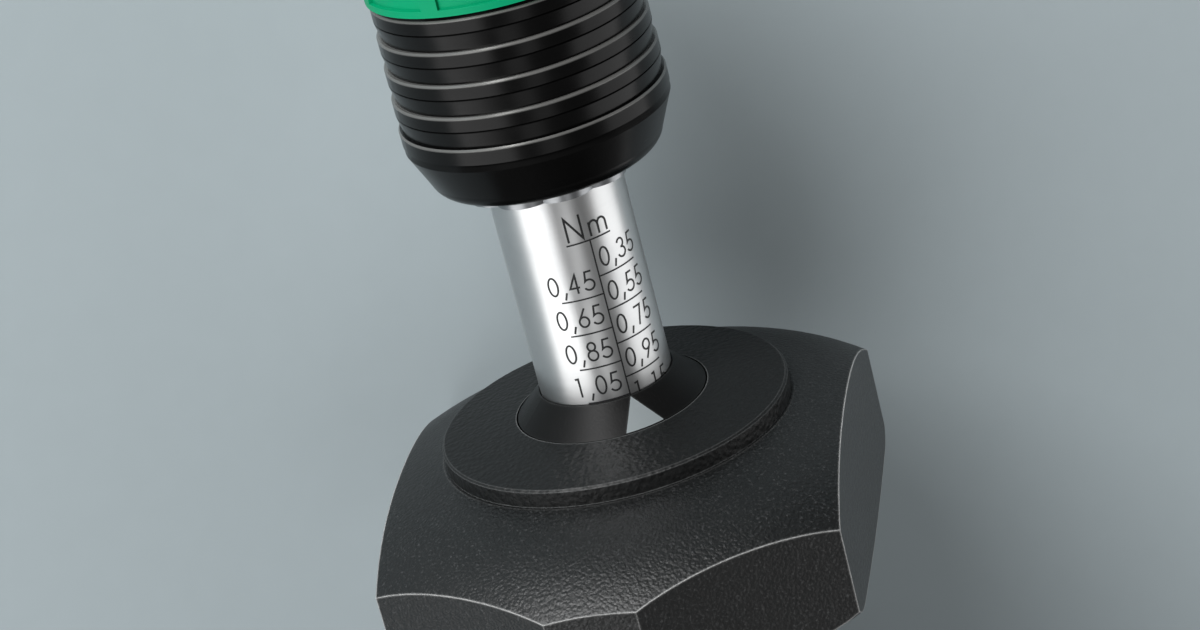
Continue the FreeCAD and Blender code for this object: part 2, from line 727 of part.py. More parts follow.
def make_bit_holder():
    """Return the steel holder with its hexagonal bit socket, ball hole and snap-ring groove."""
    body = new_body("bit_holder")
    groove_rear = "snap_groove_front - snap_thickness"
    turned(body, "bit_holder_turned", [
        ("holder_rear", "shaft_radius"),
        ("holder_rear", "holder_radius"),
        (groove_rear, "holder_radius"),
        (groove_rear, "snap_groove_radius"),
        ("snap_groove_front", "snap_groove_radius"),
        ("snap_groove_front", "holder_radius"),
        ("holder_front - nose_chamfer", "holder_radius"),
        ("holder_front", "holder_radius - nose_chamfer"),
        ("holder_front", "socket_mouth_radius"),
        ("holder_front - socket_mouth_depth", "magnet_radius"),
        ("shaft_front", "magnet_radius"),
        ("shaft_front", "shaft_radius"),
    ])
    sketch = new_sketch(body, "socket_outline", "YZ_Plane", "holder_front")
    corner = f"socket_across_flats / 2 / {math.cos(math.pi / 6):.6f}"
    draw_outline(sketch, [polar(corner, 60 * index) for index in range(6)])
    pocketed(body, "bit_socket", sketch, "holder_front - socket_bottom")
    ball_hole = new_sketch(body, "lock_hole_outline", "XY_Plane", "holder_radius + 1")
    draw_circle(ball_hole, "lock_hole_radius", "lock_ball_station", "0")
    pocketed(body, "lock_hole", ball_hole, "holder_radius")
    cut_round_hole(body, "holder_cross_hole", "holder_pin_station", "holder_pin_radius")
    return lay(body)


def make_bit_magnet():
    """Return the magnet at the bottom of the socket."""
    return lay(turned_body("bit_magnet", [
        ("socket_bottom", "0"),
        ("socket_bottom", "magnet_radius"),
        ("shaft_front", "magnet_radius"),
        ("shaft_front", "0"),
    ]))


def make_locking_ball():
    """Return the ball that holds the bit while the sleeve's land covers it."""
    ball = doc.addObject("Part::Sphere", "locking_ball")
    ball.Label = "locking_ball"
    bind(ball, "Radius", "lock_ball_radius")
    bind(ball, "Placement.Base.x", f"lock_ball_station + {middle_shift():.6f}")
    bind(ball, "Placement.Base.z", f"lock_ball_offset + {rest_height():.6f}")
    return ball


def make_shaft_rings():
    """Return the washers and snap rings on the shaft and the holder."""
    washer = ring_body(
        "holder_washer", "holder_rear", "holder_rear - holder_washer_thickness",
        "shaft_radius", "holder_washer_radius")
    stop = ring_body(
        "stop_washer", "snap_groove_front - snap_thickness",
        "snap_groove_front - snap_thickness - stop_washer_thickness",
        "holder_radius", "stop_washer_radius")
    snap = split_ring(
        "snap_ring", "snap_groove_front", "snap_thickness", "snap_groove_radius", "snap_radius", "snap_gap")
    clip = split_ring(
        "shaft_clip", "hub_rear", "clip_thickness", "clip_groove_radius", "clip_radius", "clip_gap")
    return [lay(washer), lay(stop), lay(snap), lay(clip)]


# Chuck sleeve ---------------------------------------------------------------------------------------


def rib_outline():
    """Return the ribs' outline points from the front of the sleeve to the rear."""
    points = []
    for index in range(SIZES["rib_count"]):
        top = f"(rib_front - rib_pitch * {index})"
        radius = f"(rib_radius + rib_growth * {index})"
        points.append((top, f"{radius} - rib_edge"))
        points.append((f"{top} - rib_edge", radius))
        if index == SIZES["rib_count"] - 1:
            break
        line = f"({top} - rib_band)"
        points.append((line, radius))
        points.append((f"{line} - rib_line / 2", f"{radius} - rib_line_depth"))
        points.append((f"{line} - rib_line", radius))
        points.append((f"{top} - rib_pitch", f"{radius} - rib_taper"))
    last = f"(rib_radius + rib_growth * {SIZES['rib_count'] - 1})"
    points.append(("last_rib_rear", last))
    points.append(("last_rib_rear - rib_line / 2", f"{last} - rib_line_depth * 2"))
    return points


def make_ribbed_sleeve():
    """Return the sleeve that is pushed forward to free the bit."""
    guide = "holder_radius + sleeve_gap"
    return lay(turned_body("ribbed_sleeve", [
        ("skirt_front", "skirt_bore_radius"),
        ("skirt_front", "skirt_radius"),
        ("ring_rear", "skirt_radius"),
        ("ring_rear", "rib_radius - rib_taper"),
        *rib_outline(),
        ("sleeve_cone_front", "sleeve_cone_radius"),
        ("sleeve_rear + sleeve_end_rise", "sleeve_end_radius + sleeve_end_step", Arc("sleeve_end_round", 1)),
        ("sleeve_rear", "sleeve_end_radius"),
        ("sleeve_rear", "sleeve_cavity_radius"),
        ("sleeve_cavity_front", "sleeve_cavity_radius"),
        ("sleeve_cavity_front", guide),
        ("relief_rear", guide),
        ("relief_rear", "relief_radius"),
        ("relief_front", "relief_radius"),
        ("relief_front", guide),
        ("land_front", guide),
        ("land_front", "skirt_bore_radius"),
    ]))


def make_slide_ring():
    """Return the ring that the chuck spring pushes; the sleeve spins freely on it."""
    ring = ring_body(
        "slide_ring", "land_front + slide_ring_thickness", "land_front",
        "holder_radius + sleeve_gap", "slide_ring_radius")
    return lay(ring)


def make_chuck_spring():
    """Return the spring that holds the chuck sleeve back."""
    return coil(
        "chuck_spring", "snap_groove_front - snap_thickness - stop_washer_thickness",
        "land_front + slide_ring_thickness", "chuck_spring_radius", "chuck_spring_wire",
        "chuck_spring_pitch")


def make_colour_ring():
    """Return the coloured ring in front of the ribs, with its sunk windows between bars."""
    body = new_body("colour_ring")
    floor = "ring_radius - ring_recess"
    turned(body, "colour_ring_turned", [
        ("ring_front", "ring_lip_radius"),
        ("ring_front", "ring_radius - ring_round", Arc("ring_round * 1.0001", 1)),
        ("ring_front - ring_round", "ring_radius"),
        ("ring_front - ring_front_rim", "ring_radius"),
        ("ring_front - ring_front_rim", floor),
        ("ring_rear + ring_rim", floor),
        ("ring_rear + ring_rim", "ring_radius"),
        ("ring_rear", "ring_radius"),
        ("ring_rear", "skirt_radius"),
        ("skirt_front", "skirt_radius"),
        ("skirt_front", "ring_lip_radius"),
    ])
    sketch = new_sketch(body, "ring_bar_outline", "YZ_Plane", "ring_rear + ring_rim")
    half = "ring_bar_width / 2 / ring_radius * 180 / pi"
    inner = "(ring_radius - ring_recess * 1.5)"
    draw_outline(sketch, [
        polar(inner, f"ring_bar_turn - {half}"),
        (*polar("ring_radius", f"ring_bar_turn - {half}"), Arc("ring_radius", 1)),
        polar("ring_radius", f"ring_bar_turn + {half}"),
        polar(inner, f"ring_bar_turn + {half}"),
    ])
    bar = padded(body, "ring_bar", sketch, "ring_front - ring_front_rim - ring_rear - ring_rim")
    patterned(body, "ring_bars", bar, SIZES["ring_bar_count"])
    return lay(body)


# Laying down and writing ----------------------------------------------------------------------------


def middle_shift():
    """Return how far the pieces move along X to put the origin under the tool's middle."""
    return -(value("holder_front") + value("end_station")) / 2


def lay(piece, turn=0):
    """Lay a piece down with the others: axis level, collar and bulb on the ground plane."""
    piece.Placement = FreeCAD.Placement(
        FreeCAD.Vector(middle_shift(), 0, rest_height()), FreeCAD.Rotation(X_DIRECTION, turn))
    return piece


def check_and_write(pieces):
    """Check every object and every sub-part's shape, then write one file for each sub-part."""
    doc.recompute()
    for item in doc.Objects:
        if {"Invalid", "Error"} & set(item.State):
            raise RuntimeError(f"{item.Name} failed: {item.State}")
    for piece in pieces:
        shape = piece.Shape
        if shape.isNull() or not shape.isValid() or not shape.Solids:
            raise RuntimeError(f"{piece.Label} has no valid solid")
    os.makedirs("parts", exist_ok=True)
    for piece in pieces:
        piece.Shape.exportStep(f"parts/{piece.Label}.step")


def build():
    """Build every sub-part and write it."""
    profile = outer_profile()
    form = make_handle_form(profile)
    pads = make_grip_pads(make_pad_zone(profile))
    pieces = [
        make_handle_body(form, pads), *pads, make_front_disc(), make_end_cap(profile),
        *make_pointer_ring(), make_thread_bush(), make_drag_ring(),
        *make_spring_seats(), make_main_spring(), make_driver_cam(), make_clutch_balls(),
        make_scale_tube(), *make_tube_bushes(), make_adjusting_collar(), make_thrust_washer(),
        make_drive_shaft(), make_driven_cam(),
        make_cross_pin("cam_pin", "cam_pin_station", "cam_pin_radius", "cam_pin_length"),
        make_bit_holder(), make_bit_magnet(), make_locking_ball(),
        make_cross_pin("holder_pin", "holder_pin_station", "holder_pin_radius", "holder_pin_length"),
        *make_shaft_rings(), make_ribbed_sleeve(), make_slide_ring(), make_chuck_spring(),
        make_colour_ring(),
    ]
    check_and_write(pieces)
    return pieces


sheet = make_sheet()
build()
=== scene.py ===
"""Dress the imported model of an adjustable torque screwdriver: finishes, printed scale, floor and lights."""

import json
import logging
import math
from dataclasses import dataclass, field
from enum import Enum
from typing import Any, Union

import bmesh
import bpy
from mathutils import Matrix, Vector


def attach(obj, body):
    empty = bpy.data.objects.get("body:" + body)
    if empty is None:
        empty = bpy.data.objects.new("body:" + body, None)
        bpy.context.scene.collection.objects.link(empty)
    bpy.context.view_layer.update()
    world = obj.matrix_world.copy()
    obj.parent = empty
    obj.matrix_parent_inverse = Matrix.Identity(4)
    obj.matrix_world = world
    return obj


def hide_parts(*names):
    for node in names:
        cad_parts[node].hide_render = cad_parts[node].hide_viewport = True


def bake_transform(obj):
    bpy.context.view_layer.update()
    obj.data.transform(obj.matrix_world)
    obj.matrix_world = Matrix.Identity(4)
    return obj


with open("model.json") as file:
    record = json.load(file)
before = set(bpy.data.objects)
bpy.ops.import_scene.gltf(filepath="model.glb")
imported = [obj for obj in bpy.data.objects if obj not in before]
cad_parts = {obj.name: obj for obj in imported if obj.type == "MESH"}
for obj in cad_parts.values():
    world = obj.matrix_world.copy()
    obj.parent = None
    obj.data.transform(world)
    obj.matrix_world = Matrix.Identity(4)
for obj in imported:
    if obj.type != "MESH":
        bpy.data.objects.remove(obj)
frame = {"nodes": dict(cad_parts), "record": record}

LOG = logging.getLogger("torque_screwdriver")
MM = 0.001
Colour = tuple[float, float, float, float]
Point = tuple[float, float]
Stroke = list[Point]


def linear(red: float, green: float, blue: float) -> Colour:
    """Turn 0 to 255 screen colour into linear light.

    Args:
        red: Screen red, 0 to 255.
        green: Screen green, 0 to 255.
        blue: Screen blue, 0 to 255.

    Returns:
        The colour in linear light, opaque.
    """
    def one(part: float) -> float:
        share = part / 255
        return share / 12.92 if share <= 0.04045 else ((share + 0.055) / 1.055) ** 2.4
    return (one(red), one(green), one(blue), 1.0)


# Node building --------------------------------------------------------------------------------------


class Wire:
    """One output socket, with arithmetic that adds Math nodes."""

    def __init__(self, shop: "Shop", socket: bpy.types.NodeSocket) -> None:
        """Keep the socket and the tree that it belongs to."""
        self.shop = shop
        self.socket = socket

    def _math(self, operation: str, *terms: "Term") -> "Wire":
        """Add a Math node over the terms."""
        return self.shop.add("ShaderNodeMath", {"operation": operation}, dict(enumerate(terms)))

    def __add__(self, other: "Term") -> "Wire":
        """Return the sum."""
        return self._math("ADD", self, other)

    __radd__ = __add__

    def __sub__(self, other: "Term") -> "Wire":
        """Return the difference."""
        return self._math("SUBTRACT", self, other)

    def __rsub__(self, other: "Term") -> "Wire":
        """Return the difference, reflected."""
        return self._math("SUBTRACT", other, self)

    def __mul__(self, other: "Term") -> "Wire":
        """Return the product."""
        return self._math("MULTIPLY", self, other)

    __rmul__ = __mul__

    def __truediv__(self, other: "Term") -> "Wire":
        """Return the quotient."""
        return self._math("DIVIDE", self, other)

    def root(self) -> "Wire":
        """Return the square root."""
        return self._math("SQRT", self)

    def lower_of(self, other: "Term") -> "Wire":
        """Return the lower of the two."""
        return self._math("MINIMUM", self, other)

    def wrapped(self, period: "Term") -> "Wire":
        """Return what is left over a whole number of periods."""
        return self._math("FLOORED_MODULO", self, period)

    def eased(self, low: float, high: float) -> "Wire":
        """Return 0 at low and 1 at high, with a smooth step between."""
        settings = {"interpolation_type": "SMOOTHSTEP"}
        if low > high:
            return 1 - self.eased(high, low)
        inputs = {"Value": self, "From Min": low, "From Max": high}
        return self.shop.add("ShaderNodeMapRange", settings, inputs)


Term = Union[Wire, float, int]


class Shop:
    """Builds one material's nodes."""

    def __init__(self, name: str) -> None:
        """Start a material that holds only a surface and its output."""
        self.material = bpy.data.materials.new(name)
        self.material.use_nodes = True
        self.tree = self.material.node_tree
        self.tree.nodes.clear()

    def raw(self, kind: str, settings: dict[str, Any], inputs: dict[Any, Any]) -> bpy.types.Node:
        """Add a node.

        Args:
            kind: The node's type.
            settings: Its properties, set before its sockets.
            inputs: The values or wires of its sockets, by name or number.

        Returns:
            The node.
        """
        node = self.tree.nodes.new(kind)
        for key, setting in settings.items():
            setattr(node, key, setting)
        for key, term in inputs.items():
            self.plug(node.inputs[key], term)
        return node

    def add(self, kind: str, settings: dict[str, Any], inputs: dict[Any, Any], output: Any = 0) -> Wire:
        """Add a node as raw does and return one of its outputs."""
        return Wire(self, self.raw(kind, settings, inputs).outputs[output])

    def plug(self, socket: bpy.types.NodeSocket, term: Any) -> None:
        """Link a wire to a socket, or set the socket's own value."""
        if isinstance(term, Wire):
            self.tree.links.new(term.socket, socket)
        else:
            socket.default_value = term

    def place(self) -> Wire:
        """Return the place on the piece, in metres, in the frame that it was built in."""
        return self.add("ShaderNodeTexCoord", {}, {}, "Object")

    def parts_of(self, vector: Wire) -> tuple[Wire, Wire, Wire]:
        """Split a vector into its three numbers."""
        node = self.raw("ShaderNodeSeparateXYZ", {}, {0: vector})
        return tuple(Wire(self, output) for output in node.outputs)

    def joined(self, x: Term, y: Term, z: Term) -> Wire:
        """Join three numbers into a vector."""
        return self.add("ShaderNodeCombineXYZ", {}, {0: x, 1: y, 2: z})

    def noise(self, vector: Wire, size: float, detail: float = 2.0, rough: float = 0.5) -> Wire:
        """Return cloudy noise, 0 to 1, whose blots are about a size in metres across."""
        inputs = {"Vector": vector, "Scale": 1 / size, "Detail": detail, "Roughness": rough}
        return self.add("ShaderNodeTexNoise", {}, inputs, "Fac")

    def cells(self, vector: Wire, size: float, feature: str = "F1") -> Wire:
        """Return the distance from the middles, or edges, of cells about a size in metres across."""
        settings = {"feature": feature}
        return self.add("ShaderNodeTexVoronoi", settings, {"Vector": vector, "Scale": 1 / size}, "Distance")

    def blend(self, share: Term, low: Any, high: Any) -> Wire:
        """Mix two colours."""
        node = self.raw("ShaderNodeMix", {"data_type": "RGBA"}, {0: share, 6: low, 7: high})
        return Wire(self, node.outputs[2])

    def bump(self, height: Wire, depth: float, under: Any = None) -> Wire:
        """Return the normal of a surface raised by height times depth in metres."""
        inputs = {"Strength": 1.0, "Distance": depth, "Height": height}
        if under is not None:
            inputs["Normal"] = under
        return self.add("ShaderNodeBump", {}, inputs, "Normal")

    def finish(self, inputs: dict[str, Any]) -> bpy.types.Material:
        """Close the material with its surface.

        Args:
            inputs: The surface's sockets, by name.

        Returns:
            The material.
        """
        surface = self.raw("ShaderNodeBsdfPrincipled", {}, inputs)
        output = self.raw("ShaderNodeOutputMaterial", {}, {})
        self.tree.links.new(surface.outputs[0], output.inputs[0])
        return self.material


# Places on the tool ---------------------------------------------------------------------------------

AXIS_HEIGHT = 19.48278 * MM
DISC_PLACE = 29.5 * MM
HALF = 0.5
RING_SQUEEZE = 0.02


class Along(Enum):
    """Stations along the axis, in millimetres from the disc's rim, positive towards the tip."""

    SCALE_TOP = 13.87
    RIB_FRONT = 31.9
    RIB_PITCH = 2.183
    RIBS_REAR = 22.1


def on_axis_frame(shop: Shop) -> tuple[Wire, Wire, Wire]:
    """Return the station and radius in millimetres and the turn about the axis in radians."""
    x, y, z = shop.parts_of(shop.place())
    up = z - AXIS_HEIGHT
    station = (x - DISC_PLACE) / MM
    radius = (y * y + up * up).root() / MM
    turn = shop.add("ShaderNodeMath", {"operation": "ARCTAN2"}, {0: up, 1: y})
    return station, radius, turn


def worn_and_highlit_edges(shop: Shop, width: float, sharpness: float) -> Wire:
    """Return 1 on the edges of a piece and 0 on its faces; the finishes lighten colour there, partly as wear
    and partly as a painted highlight.

    Args:
        shop: The material being built.
        width: How far the edge reaches, in metres.
        sharpness: How strongly a bend shows.

    Returns:
        The mask.
    """
    rounded = shop.add("ShaderNodeBevel", {"samples": 6}, {"Radius": width}, "Normal")
    true = shop.add("ShaderNodeNewGeometry", {}, {}, "Normal")
    alike = shop.add("ShaderNodeVectorMath", {"operation": "DOT_PRODUCT"}, {0: rounded, 1: true}, "Value")
    return ((1 - alike) * sharpness).lower_of(1.0)


def lathe_rings(shop: Shop, width: float) -> Wire:
    """Return the faint rings that turning leaves, about a width in metres apart along the axis."""
    x, y, z = shop.parts_of(shop.place())
    return shop.noise(shop.joined(x, y * RING_SQUEEZE, z * RING_SQUEEZE), width, 2.0)


# Finishes -------------------------------------------------------------------------------------------


@dataclass(frozen=True)
class GrainedPlastic:
    """Moulded plastic with the fine grain of a spark-eroded mould."""

    name: str
    colour: Colour
    lifted: Colour
    edge: Colour
    roughness: float
    grain: float
    depth: float
    edge_share: float = 0.6
    shine: float = 0.3
    speck_band: tuple[float, float] = (0.56, 0.74)
    speck_share: float = 0.55
    cloud_size: float = 9 * MM
    cloud_share: float = 0.06
    edge_width: float = 0.22 * MM
    edge_sharpness: float = 5.0
    edge_patch: float = 1.1 * MM
    pit_spread: float = 1.3

    def material(self) -> bpy.types.Material:
        """Return the material."""
        shop = Shop(self.name)
        place = shop.place()
        fine = shop.noise(place, self.grain, 3.0, 0.62)
        pits = shop.cells(place, self.grain * self.pit_spread)
        cloud = shop.noise(place, self.cloud_size, 2.0)
        speck = fine.eased(*self.speck_band)
        # Edges are lightened in patches towards the edge colour, partly as wear and partly as a painted
        # highlight along the edges.
        wear_and_highlight_patches = 0.55 + 0.9 * shop.noise(place, self.edge_patch)
        edges = worn_and_highlit_edges(shop, self.edge_width, self.edge_sharpness) * wear_and_highlight_patches
        colour = shop.blend(speck * self.speck_share + cloud * self.cloud_share, self.colour, self.lifted)
        colour = shop.blend(edges.lower_of(1.0) * self.edge_share, colour, self.edge)
        return shop.finish({
            "Base Color": colour,
            "Roughness": self.roughness + (fine - HALF) * 0.22 + (cloud - HALF) * 0.06,
            "Specular IOR Level": self.shine,
            "Normal": shop.bump(fine * 0.7 - pits * 0.5, self.depth),
        })


@dataclass(frozen=True)
class LeatherPlastic:
    """Moulded plastic with a leather-like grain of small pebbles."""

    name: str
    colour: Colour
    lifted: Colour
    edge: Colour
    roughness: float
    pebble: float
    depth: float
    shine: float = 0.2
    drift_spread: float = 2.5
    fine_spread: float = 0.35
    lifted_band: tuple[float, float] = (0.52, 0.78)
    lifted_share: float = 0.5
    edge_width: float = 0.16 * MM
    edge_sharpness: float = 4.0
    edge_share: float = 0.6

    def material(self) -> bpy.types.Material:
        """Return the material."""
        shop = Shop(self.name)
        place = shop.place()
        drift = shop.noise(place, self.pebble * self.drift_spread, 1.0)
        shift = shop.joined((drift - HALF) * self.pebble, 0.0, (drift - HALF) * self.pebble)
        shifted = shop.add("ShaderNodeVectorMath", {"operation": "ADD"}, {0: place, 1: shift}, "Vector")
        pebbles = shop.cells(shifted, self.pebble, "SMOOTH_F1")
        fine = shop.noise(place, self.pebble * self.fine_spread, 2.0)
        # The disc's edges are lightened towards the edge colour, partly as wear and partly as a painted
        # highlight.
        edges = worn_and_highlit_edges(shop, self.edge_width, self.edge_sharpness)
        colour = shop.blend(fine.eased(*self.lifted_band) * self.lifted_share, self.colour, self.lifted)
        colour = shop.blend(edges * self.edge_share, colour, self.edge)
        return shop.finish({
            "Base Color": colour,
            "Roughness": self.roughness + (fine - HALF) * 0.15,
            "Specular IOR Level": self.shine,
            "Normal": shop.bump(fine * 0.25 - pebbles * 0.9, self.depth),
        })


@dataclass(frozen=True)
class SatinMetal:
    """Turned and blasted or anodised metal, with faint rings from the lathe."""

    name: str
    colour: Colour
    dulled: Colour
    roughness: float
    metallic: float = 1.0
    rings: float = 0.12 * MM
    ring_depth: float = 0.0006 * MM
    grain: float = 0.08 * MM
    grain_depth: float = 0.0012 * MM
    cloud_size: float = 3.5 * MM
    dull_band: tuple[float, float] = (0.35, 0.75)
    dull_share: float = 0.6
    ring_share: float = 0.3

    def material(self) -> bpy.types.Material:
        """Return the material."""
        shop = Shop(self.name)
        place = shop.place()
        lathe = lathe_rings(shop, self.rings)
        grain = shop.noise(place, self.grain, 2.0)
        cloud = shop.noise(place, self.cloud_size, 3.0)
        dulling = cloud.eased(*self.dull_band) * self.dull_share + lathe * self.ring_share
        raised = shop.bump(grain, self.grain_depth, shop.bump(lathe, self.ring_depth))
        return shop.finish({
            "Base Color": shop.blend(dulling, self.colour, self.dulled),
            "Metallic": self.metallic,
            "Roughness": self.roughness + (cloud - HALF) * 0.08 + (grain - HALF) * 0.06,
            "Normal": raised,
        })


@dataclass(frozen=True)
class AnodisedRibs:
    """Black anodised metal whose sharp rib edges are lightened, partly as bare metal worn by handling and
    partly as a painted highlight.
    """

    name: str
    colour: Colour
    bare_and_highlight: Colour
    roughness: float
    shine: float = 0.16
    edge_band: tuple[float, float] = (0.2, 0.08)
    edge_metallic: float = 0.7
    rings: float = 0.09 * MM
    ring_depth: float = 0.0009 * MM
    cloud_size: float = 2.5 * MM
    patch_size: float = 0.6

    def material(self) -> bpy.types.Material:
        """Return the material."""
        shop = Shop(self.name)
        place = shop.place()
        station, radius, turn = on_axis_frame(shop)
        along = (Along.RIB_FRONT.value - station).wrapped(Along.RIB_PITCH.value)
        ribs = station.eased(Along.RIBS_REAR.value - 0.1, Along.RIBS_REAR.value)
        spot = shop.joined(station * 0.25, turn * 0.9, radius * 0.1)
        patches = shop.noise(spot, self.patch_size, 3.0)
        # Band along each rib's front edge, lightened and made metallic: partly wear, partly a painted
        # highlight.
        edge = (along.eased(*self.edge_band) * ribs * (0.35 + 0.8 * patches)).lower_of(1.0)
        lathe = lathe_rings(shop, self.rings)
        cloud = shop.noise(place, self.cloud_size, 3.0)
        return shop.finish({
            "Base Color": shop.blend(edge, self.colour, self.bare_and_highlight),
            "Metallic": edge * self.edge_metallic,
            "Roughness": self.roughness + (cloud - HALF) * 0.1 + (lathe - HALF) * 0.08,
            "Specular IOR Level": self.shine,
            "Normal": shop.bump(lathe, self.ring_depth),
        })


@dataclass(frozen=True)
class SmoothPlastic:
    """Plastic or rubber with only a faint unevenness."""

    name: str
    colour: Colour
    lifted: Colour
    roughness: float
    shine: float = 0.5
    ripple: float = 0.9 * MM
    depth: float = 0.004 * MM
    cloud_spread: float = 4.0
    fine_spread: float = 0.15
    edge_width: float = 0.12 * MM
    edge_sharpness: float = 3.0

    def material(self) -> bpy.types.Material:
        """Return the material."""
        shop = Shop(self.name)
        place = shop.place()
        cloud = shop.noise(place, self.ripple * self.cloud_spread, 3.0)
        fine = shop.noise(place, self.ripple * self.fine_spread, 2.0)
        # Edges are lightened a little towards the lifted colour, partly as wear and partly as a painted
        # highlight; the cloud is random tone.
        edges = worn_and_highlit_edges(shop, self.edge_width, self.edge_sharpness)
        return shop.finish({
            "Base Color": shop.blend(cloud * 0.4 + edges * 0.5, self.colour, self.lifted),
            "Roughness": self.roughness + (fine - HALF) * 0.08,
            "Specular IOR Level": self.shine,
            "Normal": shop.bump(cloud * 0.6 + fine * 0.25, self.depth),
        })


class Slot(Enum):
    """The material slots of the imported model, with the finish that each gets."""

    # In the grained and leather finishes the third colour lightens the edges, and in the sleeve's finish the
    # second colour lightens the rib edges, partly as wear and partly as a painted highlight.
    HANDLE = ("handle_plastic", GrainedPlastic(
        "handle_black_grain", linear(5, 6, 6), linear(74, 75, 76), linear(205, 205, 204), 0.42,
        0.2 * MM, 0.07 * MM, 0.9, 0.42))
    GRIP = ("grip_rubber", SmoothPlastic(
        "grip_soft_black", linear(26, 27, 28), linear(40, 41, 42), 0.62))
    DISC = ("disc_plastic", LeatherPlastic(
        "disc_leather_grain", linear(10, 11, 11), linear(32, 33, 34), linear(130, 132, 132), 0.5,
        0.34 * MM, 0.09 * MM, 0.3))
    RING = ("ring_plastic", GrainedPlastic(
        "ring_black_fine", linear(9, 9, 9), linear(26, 27, 27), linear(70, 72, 72), 0.42,
        0.14 * MM, 0.006 * MM, 0.25, 0.15))
    POINTER = ("pointer_print", SmoothPlastic(
        "pointer_grey_inlay", linear(116, 123, 125), linear(130, 137, 139), 0.6, 0.3))
    SCALE = ("scale_metal", SatinMetal(
        "scale_silver_satin", linear(198, 199, 199), linear(186, 187, 188), 0.33))
    GREY = ("grey_metal", SatinMetal(
        "grey_satin", linear(150, 152, 154), linear(128, 130, 132), 0.34))
    SLEEVE = ("sleeve_metal", AnodisedRibs(
        "sleeve_black_anodised", linear(6, 6, 6), linear(124, 124, 122), 0.24))
    GREEN = ("green_plastic", SmoothPlastic(
        "ring_emerald", linear(0, 132, 90), linear(1, 142, 98), 0.45, 0.12))
    HOLDER = ("holder_steel", SatinMetal(
        "holder_bright_steel", linear(205, 206, 208), linear(186, 187, 190), 0.2))
    STEEL = ("steel", SatinMetal("ground_steel", linear(188, 190, 193), linear(165, 167, 170), 0.3))
    SPRING = ("spring_steel", SatinMetal("drawn_wire", linear(150, 151, 154), linear(120, 121, 124), 0.3))
    BRONZE = ("bronze", SatinMetal("bearing_bronze", linear(205, 160, 96), linear(176, 132, 76), 0.34))
    MAGNET = ("magnet_metal", SatinMetal("magnet_nickel", linear(196, 195, 192), linear(180, 179, 176), 0.22))
    SEAL = ("seal_rubber", SmoothPlastic("seal_black", linear(22, 22, 23), linear(34, 34, 35), 0.5))

    def __init__(self, slot: str, finish: Any) -> None:
        """Keep the slot's name and its finish apart."""
        self.slot = slot
        self.finish = finish


SCALE_INK = SmoothPlastic("scale_ink", linear(14, 15, 16), linear(24, 25, 26), 0.5)


# Printed scale --------------------------------------------------------------------------------------


def bow(centre: Point, radii: Point, start: float, end: float, steps: int = 18) -> Stroke:
    """Return part of an ellipse as a stroke.

    Args:
        centre: Its middle.
        radii: Its half width and half height.
        start: Where it starts, in degrees from the right, turning left.
        end: Where it ends.
        steps: How many straight parts it has.

    Returns:
        The points of the stroke.
    """
    angles = [math.radians(start + (end - start) * step / steps) for step in range(steps + 1)]
    return [(centre[0] + radii[0] * math.cos(a), centre[1] + radii[1] * math.sin(a)) for a in angles]


GLYPHS: dict[str, list[Stroke]] = {
    "0": [bow((0.385, 0.72), (0.32, 0.65), 90, 450, 40)],
    "1": [[(0.16, 1.33), (0.40, 1.37), (0.40, 0.0)]],
    "3": [bow((0.36, 1.06), (0.28, 0.31), 165, -92), bow((0.36, 0.41), (0.34, 0.34), 92, -165)],
    "4": [[(0.50, 0.0), (0.50, 1.38), (0.02, 0.42), (0.68, 0.42)]],
    "5": [[(0.66, 1.37), (0.22, 1.37), (0.14, 0.76), *bow((0.35, 0.43), (0.36, 0.37), 128, -152, 24)]],
    "6": [[(0.55, 1.40), *bow((0.38, 0.42), (0.32, 0.36), 158, 518, 36)]],
    "7": [[(0.06, 1.37), (0.68, 1.37), (0.30, 0.0)]],
    "8": [bow((0.38, 1.07), (0.26, 0.30), 90, 450, 30), bow((0.38, 0.42), (0.33, 0.36), 90, 450, 34)],
    "9": [[(0.21, 0.02), *bow((0.38, 1.01), (0.32, 0.36), -22, 338, 36)]],
    ",": [[(0.20, 0.20), (0.03, -0.31)]],
    "N": [[(0.06, 0.0), (0.06, 1.72), (1.08, 0.06), (1.08, 1.78)]],
    "m": [[(0.0, 0.0), (0.0, 1.0)], [(0.0, 0.62), *bow((0.31, 0.66), (0.31, 0.36), 180, 0), (0.62, 0.0)],
          [(0.62, 0.62), *bow((0.93, 0.66), (0.31, 0.36), 180, 0), (1.24, 0.0)]],
}


